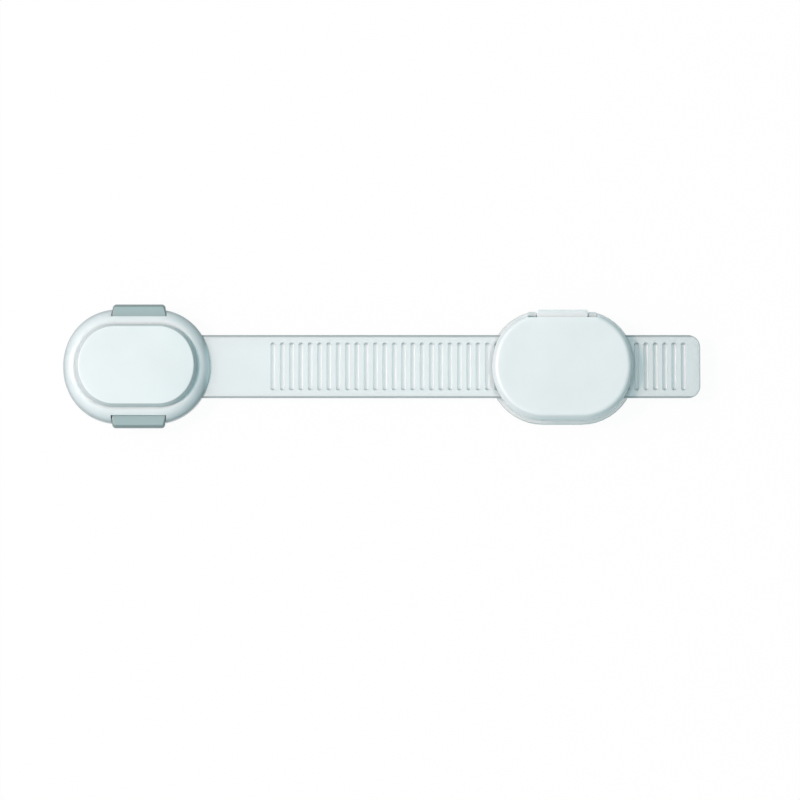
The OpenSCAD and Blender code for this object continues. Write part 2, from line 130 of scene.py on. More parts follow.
def srgb(red: int, green: int, blue: int) -> Colour:
    """Turn a screen colour into a linear one."""
    return (linear(red), linear(green), linear(blue))


def span(node: str) -> tuple[Vector, Vector]:
    """Give the lowest and highest corner of a CAD node, in millimetres."""
    low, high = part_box(node)
    return low / MM, high / MM


def joint_place(name: str) -> Vector:
    """Give the place of a joint in the frame, in millimetres."""
    joint = next(j for j in frame["joints"] if j["name"] == name)
    return Vector(joint["pos_m"]) / MM


def joint_travels(name: str) -> list[float]:
    """Give the travels of a sliding joint from rest to its limits, the shorter first, in millimetres."""
    joint = next(j for j in frame["record"]["behaviour"]["joints"] if j["name"] == name)
    return sorted(abs(end) / MM for end in joint["range_m"])


def quarter_turn(steps: int) -> list[float]:
    """Give the angles of a quarter turn in equal steps, with both ends."""
    return [math.pi / 2 * k / steps for k in range(steps + 1)]


def arc(middle: Point, radius: float, start: float, end: float, steps: int = ARC_STEPS) -> list[Point]:
    """Place points along an arc between two angles in radians, with both ends."""
    turns = [start + (end - start) * k / steps for k in range(steps + 1)]
    return [(middle[0] + radius * math.cos(t), middle[1] + radius * math.sin(t)) for t in turns]


def rounded_plan(low: Point, high: Point, start_r: float, end_r: float, steps: int = 6) -> list[Point]:
    """Draw a rectangle with rounded corners.

    Args:
        low: Lowest corner.
        high: Highest corner.
        start_r: Radius of the two corners at the low end of the first axis.
        end_r: Radius of the two corners at the high end of the first axis.
        steps: Steps along each corner.

    Returns:
        The points in turn, counterclockwise.
    """
    quarter = math.pi / 2
    corners = (
        ((low[0] + start_r, low[1] + start_r), start_r, 2),
        ((high[0] - end_r, low[1] + end_r), end_r, 3),
        ((high[0] - end_r, high[1] - end_r), end_r, 4),
        ((low[0] + start_r, high[1] - start_r), start_r, 5),
    )
    plan: list[Point] = []
    for middle, radius, turn in corners:
        plan += arc(middle, radius, turn * quarter, (turn + 1) * quarter, steps)
    return plan


def lay(plan: Sequence[Point], place: float, axis: Axis = Axis.Z) -> Ring:
    """Lay a plan square to an axis, at a place along it."""
    k = axis.value
    return [Vector((*point[:k], place, *point[k:])) for point in plan]


def round_over(run: float, rise: float, steps: int = 10, slant: float = 1.0) -> list[Point]:
    """Step over an edge, as pairs of an inset and a height. Slant 1 is round, and 2 is a straight slope."""
    turns = quarter_turn(steps)
    return [(run * (1 - max(0.0, math.cos(t)) ** slant), rise * math.sin(t) ** slant) for t in turns]


def foot_round(radius: float) -> list[Point]:
    """Step over the small round at the foot of a wall, as pairs of an inset and a height."""
    return [(radius * (1 - math.sin(t)), radius * (1 - math.cos(t))) for t in quarter_turn(FOOT_STEPS)]


def chamfered(length: float, radius: float, chamfer: float) -> list[Point]:
    """Give the profile of a bar with chamfered ends, as pairs of a distance and a radius."""
    return [(0, radius - chamfer), (chamfer, radius), (length - chamfer, radius), (length, radius - chamfer)]


@dataclass(frozen=True)
class Oval:
    """Outline of two flat sides, four corner arcs and two end arcs."""

    centre_x: float
    length: float
    width: float
    corner_r: float
    end_extra: float

    def ring(self, inset: float, z: float) -> Ring:
        """Draw the outline at a height.

        Args:
            inset: How far it is drawn in from the outline itself.
            z: Height of the ring.

        Returns:
            The points in turn, counterclockwise, as many for every inset.
        """
        end_r = self.width / 2 + self.end_extra
        end_x = self.length / 2 - end_r
        corner_y = self.width / 2 - self.corner_r
        corner_x = end_x + math.sqrt((end_r - self.corner_r) ** 2 - corner_y**2)
        split = math.atan2(corner_y, corner_x - end_x)
        end_arc = arc((end_x, 0), end_r - inset, 0, split)
        corner_arc = arc((corner_x, corner_y), self.corner_r - inset, split, math.pi / 2)
        quarter = end_arc[:-1] + corner_arc
        plan = quarter + [(-x, y) for x, y in reversed(quarter)]
        plan += [(-x, -y) for x, y in quarter[1:]] + [(x, -y) for x, y in reversed(quarter[1:])]
        return [Vector((self.centre_x + x, y, z)) for x, y in plan]

    def rings(self, steps: Sequence[Point], z: float) -> list[Ring]:
        """Draw a ring for each pair of an inset and a height over a base height."""
        return [self.ring(inset, z + height) for inset, height in steps]

    def column(self, inset: float, low: float, high: float) -> Form:
        """Stand the outline up between two heights."""
        return Form.loft("column", [self.ring(inset, low), self.ring(inset, high)])


class Form:
    """Closed mesh in the making, in millimetres until it is settled."""

    def __init__(self, mesh: bpy.types.Mesh) -> None:
        """Link a mesh into the scene as an object."""
        self.thing = bpy.data.objects.new(mesh.name, mesh)
        bpy.context.scene.collection.objects.link(self.thing)

    @classmethod
    def of_bmesh(cls, name: str, work: bmesh.types.BMesh) -> Form:
        """Make a form of a mesh under work, and free that.

        Args:
            name: Name of the form.
            work: Mesh under work.

        Returns:
            The new form.
        """
        mesh = bpy.data.meshes.new(name)
        work.to_mesh(mesh)
        work.free()
        return cls(mesh)

    @classmethod
    def loft(cls, name: str, rings: Sequence[Ring]) -> Form:
        """Close a solid through rings of equal counts.

        Args:
            name: Name of the form.
            rings: The rings in turn.

        Returns:
            The solid, with a face over each end.
        """
        work = bmesh.new()
        rows = [[work.verts.new(point) for point in ring] for ring in rings]
        count = len(rings[0])
        for low, high in zip(rows, rows[1:]):
            for k in range(count):
                work.faces.new((low[k], low[(k + 1) % count], high[(k + 1) % count], high[k]))
        work.faces.new(rows[0])
        work.faces.new(rows[-1])
        bmesh.ops.recalc_face_normals(work, faces=work.faces)
        return cls.of_bmesh(name, work)

    @classmethod
    def prism(cls, plan: Sequence[Point], ends: Point, axis: Axis = Axis.Z) -> Form:
        """Stretch a plan between two places along an axis."""
        return cls.loft("prism", [lay(plan, end, axis) for end in ends])

    @classmethod
    def box(cls, low: Sequence[float], high: Sequence[float]) -> Form:
        """Make a box between two corners."""
        plan = [(low[0], low[1]), (high[0], low[1]), (high[0], high[1]), (low[0], high[1])]
        return cls.prism(plan, (low[2], high[2]))

    @classmethod
    def bar(cls, start: Vector, end: Vector, profile: Sequence[Point], sides: int = 32) -> Form:
        """Turn a profile round the line between two points.

        Args:
            start: Middle of the first end.
            end: Middle of the other end.
            profile: Pairs of a distance along the line and a radius.
            sides: Number of sides.

        Returns:
            The round bar.
        """
        along = (end - start).normalized()
        across = along.orthogonal().normalized()
        other = along.cross(across)
        turns = [2 * math.pi * k / sides for k in range(sides)]
        spokes = [across * math.cos(t) + other * math.sin(t) for t in turns]
        return cls.loft("bar", [[start + along * s + spoke * r for spoke in spokes] for s, r in profile])

    @classmethod
    def of_node(cls, node: str) -> Form:
        """Copy a CAD node, with its triangles merged into whole faces.

        Args:
            node: Name of the node.

        Returns:
            The copy, in millimetres.
        """
        work = bmesh.new()
        work.from_mesh(frame["nodes"][node].data)
        bmesh.ops.scale(work, vec=Vector((1, 1, 1)) / MM, verts=work.verts)
        bmesh.ops.remove_doubles(work, verts=work.verts, dist=MERGE_GAP)
        bmesh.ops.dissolve_limit(work, angle_limit=FLAT_ANGLE, verts=work.verts, edges=work.edges)
        return cls.of_bmesh(node, work)

    def settle_modifiers(self) -> Form:
        """Turn the form and its modifiers into a plain mesh.

        Returns:
            The form itself.
        """
        graph = bpy.context.evaluated_depsgraph_get()
        mesh = bpy.data.meshes.new_from_object(self.thing.evaluated_get(graph))
        self.thing.modifiers.clear()
        old, self.thing.data = self.thing.data, mesh
        bpy.data.meshes.remove(old)
        return self

    def combine(self, how: Boolean, tools: Sequence[Form]) -> Form:
        """Join tools to the form or cut them from it, and remove them.

        Args:
            how: What to do with the tools.
            tools: Forms that overlap this one.

        Returns:
            The form itself.
        """
        for tool in tools:
            boolean = self.thing.modifiers.new(how.name, "BOOLEAN")
            boolean.operation = how.value
            boolean.solver = "EXACT"
            boolean.object = tool.thing
            self.settle_modifiers()
            tool.remove()
        return self

    def cut(self, *tools: Form) -> Form:
        """Cut tools from the form."""
        return self.combine(Boolean.CUT, tools)

    def join(self, *tools: Form) -> Form:
        """Join tools to the form."""
        return self.combine(Boolean.JOIN, tools)

    def remove(self) -> None:
        """Remove the form from the scene."""
        mesh = self.thing.data
        bpy.data.objects.remove(self.thing)
        bpy.data.meshes.remove(mesh)

    def soften(self, width: float) -> Form:
        """Round the form's sharp edges over.

        Args:
            width: Width of the rounding.

        Returns:
            The form itself.
        """
        bevel = self.thing.modifiers.new("Soft edges", "BEVEL")
        bevel.width = width
        bevel.segments = EDGE_SEGMENTS
        bevel.limit_method = "ANGLE"
        bevel.angle_limit = SMOOTH_ANGLE
        return self.settle_modifiers()

    def shade(self) -> Form:
        """Shade the form smooth, apart from its sharp edges, with flat faces kept flat.

        Returns:
            The form itself.
        """
        self.thing.data.shade_smooth()
        self.thing.data.set_sharp_from_angle(angle=SMOOTH_ANGLE)
        weighted = self.thing.modifiers.new("Flat faces", "WEIGHTED_NORMAL")
        weighted.keep_sharp = True
        return self.settle_modifiers()

    def settle(self, name: str, body: str, finish: Finish, *nodes: str) -> bpy.types.Object:
        """Bring the form to metres and hand it to the frame.

        Args:
            name: Name of the piece.
            body: CAD body that it rides on.
            finish: Finish of the whole piece.
            nodes: CAD nodes that it stands for.

        Returns:
            The finished piece.
        """
        self.shade()
        thing = self.thing
        thing.name = thing.data.name = name
        thing.data.transform(Matrix.Scale(MM, 4))
        thing.data.materials.clear()
        thing.data.materials.append(finish.material())
        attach(thing, body)
        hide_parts(*nodes)
        LOG.info("%s: %d faces on %s", name, len(thing.data.polygons), body)
        return thing


class Wire:
    """Output of a node, with arithmetic that adds Math nodes to its tree."""

    def __init__(self, board: Board, socket: bpy.types.NodeSocket) -> None:
        """Hold an output socket and the board that it is on."""
        self.board = board
        self.socket = socket

    def __add__(self, other: Value) -> Wire:
        """Add a value."""
        return self.board.math("ADD", self, other)

    def __radd__(self, other: Value) -> Wire:
        """Add to a value."""
        return self.board.math("ADD", other, self)

    def __sub__(self, other: Value) -> Wire:
        """Take a value away."""
        return self.board.math("SUBTRACT", self, other)

    def __rsub__(self, other: Value) -> Wire:
        """Take away from a value."""
        return self.board.math("SUBTRACT", other, self)

    def __mul__(self, other: Value) -> Wire:
        """Multiply by a value."""
        return self.board.math("MULTIPLY", self, other)

    def __truediv__(self, other: Value) -> Wire:
        """Divide by a value."""
        return self.board.math("DIVIDE", self, other)


Value = Union[Wire, float]


class Board:
    """Node tree under construction."""

    def __init__(self, tree: bpy.types.NodeTree) -> None:
        """Hold a tree."""
        self.tree = tree

    def add(self, kind: str, sockets: Optional[dict] = None, **settings: object) -> bpy.types.Node:
        """Add a node.

        Args:
            kind: Type of the node.
            sockets: Values or wires of its inputs, by place or name.
            settings: Its settings, set first.

        Returns:
            The node.
        """
        node = self.tree.nodes.new(kind)
        for name, value in settings.items():
            setattr(node, name, value)
        for key, value in (sockets or {}).items():
            socket = node.inputs[key]
            if isinstance(value, Wire):
                self.tree.links.new(value.socket, socket)
            else:
                socket.default_value = value
        return node

    def wire(
        self, kind: str, sockets: Optional[dict] = None, output: Union[str, int] = 0, **settings: object
    ) -> Wire:
        """Add a node as add does, and take one of its outputs by name or place."""
        return Wire(self, self.add(kind, sockets, **settings).outputs[output])

    def math(self, operation: str, *values: Value) -> Wire:
        """Add a Math node on some values."""
        return self.wire("ShaderNodeMath", dict(enumerate(values)), operation=operation)

    def clamp(self, value: Value) -> Wire:
        """Keep a value between 0 and 1."""
        return self.wire("ShaderNodeClamp", {"Value": value})

    def ramp(self, value: Value, start: float, end: float) -> Wire:
        """Run smoothly from 0 to 1 as a value goes from a start to an end, above it or below it."""
        sockets = {"Value": value, "From Min": start, "From Max": end}
        return self.wire("ShaderNodeMapRange", sockets, interpolation_type="SMOOTHSTEP")

    def blend(self, factor: Value, first: Union[Wire, Colour], second: Union[Wire, Colour]) -> Wire:
        """Mix two colours.

        Args:
            factor: Share of the second colour.
            first: First colour.
            second: Second colour.

        Returns:
            The mixed colour.
        """
        ends = [c if isinstance(c, Wire) else (*c, 1) for c in (first, second)]
        sockets = {MIX_FACTOR: factor, MIX_FIRST: ends[0], MIX_SECOND: ends[1]}
        return self.wire("ShaderNodeMix", sockets, MIX_RESULT, data_type="RGBA")

    def combine(self, x: Value, y: Value, z: Value) -> Wire:
        """Make a vector of three values."""
        return self.wire("ShaderNodeCombineXYZ", {"X": x, "Y": y, "Z": z})

    def split(self, vector: Wire) -> list[Wire]:
        """Give the three parts of a vector."""
        parts = self.add("ShaderNodeSeparateXYZ", {"Vector": vector})
        return [Wire(self, socket) for socket in parts.outputs]


class ShaderBoard(Board):
    """Node tree of a material, with its patterns on Object coordinates in millimetres."""

    def __init__(self, name: str) -> None:
        """Start an empty material.

        Args:
            name: Name of the material.
        """
        self.surface = bpy.data.materials.new(name)
        self.surface.use_nodes = True
        super().__init__(self.surface.node_tree)
        self.tree.nodes.clear()
        metres = self.wire("ShaderNodeTexCoord", output="Object")
        sockets = {0: metres, "Scale": 1 / MM}
        self.place = self.wire("ShaderNodeVectorMath", sockets, operation="SCALE")

    def stretched(self, x: float, y: float, z: float) -> Wire:
        """Stretch the coordinates, so that a pattern runs along one axis."""
        sockets = {0: self.place, 1: (x, y, z)}
        return self.wire("ShaderNodeVectorMath", sockets, operation="MULTIPLY")

    def steepness(self, flat: float, steep: float) -> Wire:
        """Run from 0 on faces whose normal points up by flat or more to 1 on those at steep or less."""
        normal = self.wire("ShaderNodeTexCoord", output="Normal")
        return self.ramp(self.split(normal)[Axis.Z.value], flat, steep)

    def noise(self, grain: float, detail: float = 2, where: Optional[Wire] = None) -> Wire:
        """Add smooth noise around zero, with features of a size in millimetres and some finer octaves."""
        sockets = {"Vector": where or self.place, "Scale": 1 / grain, "Detail": detail}
        return self.wire("ShaderNodeTexNoise", sockets) - NOISE_MIDDLE

    def bump(self, height: Wire, depth: float) -> Wire:
        """Turn a height, as a share of a depth in millimetres, into a normal."""
        return self.wire("ShaderNodeBump", {"Height": height, "Distance": depth * MM, "Strength": 1})

    def close(self, shader: Wire) -> bpy.types.Material:
        """End the material in a shader."""
        self.add("ShaderNodeOutputMaterial", {"Surface": shader})
        return self.surface

    def principled(self, sockets: dict) -> bpy.types.Material:
        """End the material in a Principled shader with these inputs."""
        return self.close(self.wire("ShaderNodeBsdfPrincipled", sockets))


@dataclass(frozen=True)
class Finish:
    """Finish of a piece, made into a material once."""

    name: str
    slot: str
    colour: Colour
    roughness: float

    def material(self) -> bpy.types.Material:
        """Give the finish's material, built on first use."""
        return bpy.data.materials.get(self.name) or self.build()

    def build(self) -> bpy.types.Material:
        """Build the material, each kind of finish in its own way."""
        raise NotImplementedError(self.name)

    def shade(self, share: float) -> Colour:
        """Give a share of the finish's colour."""
        return (self.colour[0] * share, self.colour[1] * share, self.colour[2] * share)


@dataclass(frozen=True)
class MouldedPlastic(Finish):
    """Milky moulded plastic: slow tone drift, uneven gloss and a fine die grain, with painted shade on steep
    faces.
    """

    coat: float = 0.0
    scatter: float = 0.0
    scatter_reach: float = 1.2
    drift: float = 0.05
    drift_grain: float = 14.0
    die_grain: float = 0.35
    die_detail: int = 3
    die_depth: float = 0.002
    gloss_drift: float = 0.1
    gloss_grain: float = 0.06
    coat_roughness: float = 0.12
    ior: float = 1.5
    # edge_shade, flat and steep paint shade into the colour: faces darken toward edge_shade as their normal turns
    # from up to sideways.
    edge_shade: float = 0.0
    flat: float = 1.1
    steep: float = 0.5
    # Past this place along the axis below, the painted edge shade fades out over the reach, so that part is
    # painted lighter.
    glow_from: float = math.inf
    glow_axis: Axis = Axis.X
    glow_reach: float = 1.6

    def build(self) -> bpy.types.Material:
        """Build the plastic's material.

        Returns:
            The material.
        """
        board = ShaderBoard(self.name)
        slow = board.noise(self.drift_grain)
        fine = board.noise(self.die_grain, self.die_detail)
        deep, pale = self.shade(1 - self.drift), self.shade(1 + self.drift)
        tone = board.blend(board.clamp(slow + NOISE_MIDDLE), deep, pale)
        # Painted shade: steep faces take a darker colour, faded out where the shade is lifted.
        edge = board.steepness(self.flat, self.steep)
        if math.isfinite(self.glow_from):
            along = board.split(board.place)[self.glow_axis.value]
            edge = edge * board.ramp(along, self.glow_from, self.glow_from - self.glow_reach)
        sockets = {
            "Base Color": board.blend(edge, tone, self.shade(1 - self.edge_shade)),
            "Roughness": board.clamp(self.roughness + slow * self.gloss_drift + fine * self.gloss_grain),
            "Normal": board.bump(fine, self.die_depth),
            "IOR": self.ior,
            "Coat Weight": self.coat,
            "Coat Roughness": self.coat_roughness,
            "Subsurface Weight": self.scatter,
            "Subsurface Radius": WHITE,
            "Subsurface Scale": self.scatter_reach * MM,
        }
        return board.principled(sockets)


@dataclass(frozen=True)
class ClearPlastic(Finish):
    """Clear flexible plastic with flow lines along the strap and a faint haze, and painted shade in its pockets,
    along its edges, on a steep rim and over the tail.
    """

    clearness: float = 0.3
    haze: float = 0.05
    body: float = 0.6
    rim_share: float = 0.0
    cloud_grain: float = 9.0
    flow_grain: float = 2.2
    flow_detail: int = 3
    flow_stretch: float = 0.12
    flow_depth: float = 0.0015
    gloss_drift: float = 0.08
    ior: float = 1.46
    # Painted shade: pocket floors and the tail darken toward the first colour below, the pocket ends most; the
    # strap's edges, a steep rim and the tail's end take the second, darker edge colour.
    depth_tint: Colour = srgb(150, 162, 166)
    edge_tint: Colour = srgb(150, 158, 160)
    edge_share: float = 0.8
    edge_fade: Point = (8.8, 9.1)
    depth_share: float = 0.04
    spot_share: float = 0.5
    spot_fade: Point = (6.3, 6.9)
    deep_fade: Point = (5.85, 5.3)
    under_fade: Point = (4.7, 5.0)
    rim_low_fade: Point = (2.5, 2.8)
    rim_high_fade: Point = (3.6, 3.3)
    stand_fade: Point = (0.95, 0.4)
    solid_fade: Point = (3.3, 3.6)
    solid_share: float = 0.0
    tail_x: float = math.inf
    tail_share: float = 0.12
    tail_plain: float = 2.4
    tail_l: float = 24.0
    tail_fade: float = 1.0
    soft: float = 0.4

    def build(self) -> bpy.types.Material:
        """Build the clear plastic's material.

        Returns:
            The material.
        """
        board = ShaderBoard(self.name)
        slow = board.noise(self.cloud_grain)
        flow = board.noise(self.flow_grain, self.flow_detail, board.stretched(self.flow_stretch, 1, 1))
        plain = board.blend(board.clamp(slow + NOISE_MIDDLE), self.shade(1 - self.haze), self.colour)
        x, y, z = board.split(board.place)
        # Painted shade in the pockets: their floors darken a little, and their ends much more.
        depth = board.ramp(z, *self.deep_fade) * board.ramp(z, *self.under_fade)
        far = board.math("ABSOLUTE", y)
        spot = board.ramp(far, *self.spot_fade)
        painted_shade = depth * (self.depth_share + spot * self.spot_share * (1 - self.depth_share))
        # Painted shade lines: along the strap's long edges, and on steep faces between the rim heights.
        side = board.ramp(far, *self.edge_fade) * self.edge_share
        stands = board.steepness(*self.stand_fade)
        rim = stands * board.ramp(z, *self.rim_low_fade) * board.ramp(z, *self.rim_high_fade)
        line = board.math("MAXIMUM", side, rim * self.rim_share)
        # Painted shade over the tail: the whole tail darkens a little, and steep faces at its end take the edge
        # line.
        if math.isfinite(self.tail_x):
            end = self.tail_x - self.tail_plain
            tail_end = board.ramp(x, end - self.soft, end)
            line = board.math("MAXIMUM", line, stands * tail_end * self.edge_share)
            start = self.tail_x - self.tail_l
            painted_shade = painted_shade + board.ramp(x, start, start + self.tail_fade) * self.tail_share
        thick = board.ramp(z, *self.solid_fade) * self.solid_share
        # The plain colour with the painted shade, then the painted shade lines over it.
        shaded_plain = board.blend(painted_shade, plain, self.depth_tint)
        sockets = {
            "Base Color": board.blend(line, shaded_plain, self.edge_tint),
            "Roughness": board.clamp(self.roughness + slow * self.gloss_drift),
            "Normal": board.bump(flow, self.flow_depth),
            "IOR": self.ior,
            "Transmission Weight": self.clearness,
            "Alpha": board.clamp(self.body + line + painted_shade + thick),
        }
        return board.principled(sockets)


@dataclass(frozen=True)
class Foam(Finish):
    """Closed-cell foam tape with small cells on its cut edge."""

    cell: float = 0.45
    cell_depth: float = 0.06
    cell_shade: float = 0.72
    cell_share: float = 0.9
    cloud_grain: float = 5.0
    cloud_share: float = 0.3
    gloss_drift: float = 0.1
    shine: float = 0.2

    def build(self) -> bpy.types.Material:
        """Build the foam's material.

        Returns:
            The material.
        """
        board = ShaderBoard(self.name)
        sockets = {"Vector": board.place, "Scale": 1 / self.cell}
        cells = board.wire("ShaderNodeTexVoronoi", sockets, "Distance")
        cloudy = board.noise(self.cloud_grain)
        tone = board.clamp(cells * self.cell_share + cloudy * self.cloud_share)
        sockets = {
            "Base Color": board.blend(tone, self.shade(self.cell_shade), self.colour),
            "Roughness": board.clamp(self.roughness + cloudy * self.gloss_drift),
            "Normal": board.bump(cells, self.cell_depth),
            "Specular IOR Level": self.shine,
        }
        return board.principled(sockets)


@dataclass(frozen=True)
class DrawnSteel(Finish):
    """Drawn spring wire with fine die lines."""

    line_grain: float = 0.16
    line_stretch: float = 0.1
    line_depth: float = 0.003
    line_shade: float = 0.7
    line_middle: float = 0.6
    gloss_drift: float = 0.2

    def build(self) -> bpy.types.Material:
        """Build the steel's material.

        Returns:
            The material.
        """
        board = ShaderBoard(self.name)
        lines = board.noise(self.line_grain, where=board.stretched(self.line_stretch, 1, 1))
        tone = board.clamp(lines + self.line_middle)
        sockets = {
            "Base Color": board.blend(tone, self.shade(self.line_shade), self.colour),
            "Roughness": board.clamp(self.roughness + lines * self.gloss_drift),
            "Normal": board.bump(lines, self.line_depth),
            "Metallic": 1.0,
        }
        return board.principled(sockets)


@dataclass(frozen=True)
class Finishes:
    """All finishes of the lock."""

    foam: Finish = Foam("foam_tape", "foam", srgb(226, 230, 229), 0.9)
    base: Finish = MouldedPlastic("base_plastic", "base_white", srgb(222, 232, 234), 0.42)
    # edge_shade paints shade onto steep faces of the shell, panel, cover and buttons; the panel and the cover are
    # one plastic given different amounts of painted shade.
    shell: MouldedPlastic = MouldedPlastic(
        "shell_plastic", "shell_white", srgb(233, 246, 250), 0.3, coat=0.2, scatter=0.6, scatter_reach=2.0,
        edge_shade=0.54, flat=1.03
    )
    panel: Finish = MouldedPlastic(
        "panel_plastic", "cover_white", srgb(230, 240, 242), 0.4, coat=0.1, scatter=0.4,
        edge_shade=0.38, flat=1.0, steep=0.7
    )
    cover: MouldedPlastic = MouldedPlastic(
        "cover_plastic", "cover_white", srgb(234, 241, 243), 0.4, coat=0.1, scatter=0.6, scatter_reach=2.0,
        edge_shade=0.25, flat=1.0, steep=0.78
    )
    button: Finish = MouldedPlastic(
        "button_plastic", "button_grey", srgb(155, 180, 182), 0.3, coat=1.0, scatter=0.1,
        edge_shade=0.5, flat=1.0, steep=0.85
    )
    clear: ClearPlastic = ClearPlastic("strap_plastic", "strap_clear", srgb(237, 248, 250), 0.2)
    # The flange keeps only the painted shade line on the steep faces of its rim, and is solid above it.
    flange: Finish = ClearPlastic(
        "flange_plastic", "strap_clear", srgb(238, 246, 247), 0.3, depth_share=0.0, spot_share=0.0,
        edge_share=0.0, rim_share=0.9, solid_share=1.0
    )
    acetal: Finish = MouldedPlastic("acetal", "acetal", srgb(235, 234, 228), 0.45, scatter=0.15)
    steel: Finish = DrawnSteel("drawn_steel", "spring_steel", srgb(206, 206, 202), 0.28)


class GeometryBoard(Board):
    """Node tree of a shape, with named inputs."""

    def __init__(self, name: str) -> None:
        """Start an empty tree with a geometry input.

        Args:
            name: Name of the tree.
        """
        super().__init__(bpy.data.node_groups.new(name, "GeometryNodeTree"))
        self.values: dict[str, object] = {}
        self.tree.interface.new_socket("Geometry", in_out="INPUT", socket_type="NodeSocketGeometry")
        self.tree.interface.new_socket("Geometry", in_out="OUTPUT", socket_type="NodeSocketGeometry")
        self.inlet = self.tree.nodes.new("NodeGroupInput")

    def input(self, name: str, kind: str, value: object) -> Wire:
        """Add a named input.

        Args:
            name: Name of the input.
            kind: Kind of its socket, such as Float or Material.
            value: Value that the shape takes.

        Returns:
            The input's wire.
        """
        socket = self.tree.interface.new_socket(name, in_out="INPUT", socket_type=f"NodeSocket{kind}")
        self.values[socket.identifier] = value
        return Wire(self, self.inlet.outputs[name])

    def close(self, shape: Wire, material: Wire) -> None:
        """End the tree in whole geometry with a material.

        Args:
            shape: Geometry of the shape.
            material: Material of all of it.
        """
        whole = self.wire("GeometryNodeRealizeInstances", {"Geometry": shape})
        dressed = self.wire("GeometryNodeSetMaterial", {"Geometry": whole, "Material": material})
        self.add("NodeGroupOutput", {"Geometry": dressed})

    def run(self, form: Form) -> Form:
        """Run the tree on a form and turn the result into a plain mesh.

        Args:
            form: Form that the tree changes.

        Returns:
            The form itself.
        """
        shaper = form.thing.modifiers.new(self.tree.name, "NODES")
        shaper.node_group = self.tree
        for identifier, value in self.values.items():
            shaper[identifier] = value
        return form.settle_modifiers()


@dataclass
class FoamPads:
    """Foam tape under each puck."""

    finishes: Finishes
    corner_r: float = 14.6
    end_extra: float = 2.3
    edge: float = 0.12

    def build(self) -> None:
        """Build both pads."""
        for node, body in (("latch_adhesive_pad", "latch_mount"), ("anchor_adhesive_pad", "anchor")):
            low, high = span(node)
            size = high - low
            outline = Oval((low.x + high.x) / 2, size.x, size.y, self.corner_r, self.end_extra)
            steps = ((self.edge, 0), (0, self.edge), (0, size.z - self.edge), (self.edge, size.z))
            block = Form.loft(node, outline.rings(steps, low.z))
            pad = block.settle(f"{node}_foam", body, self.finishes.foam, node)


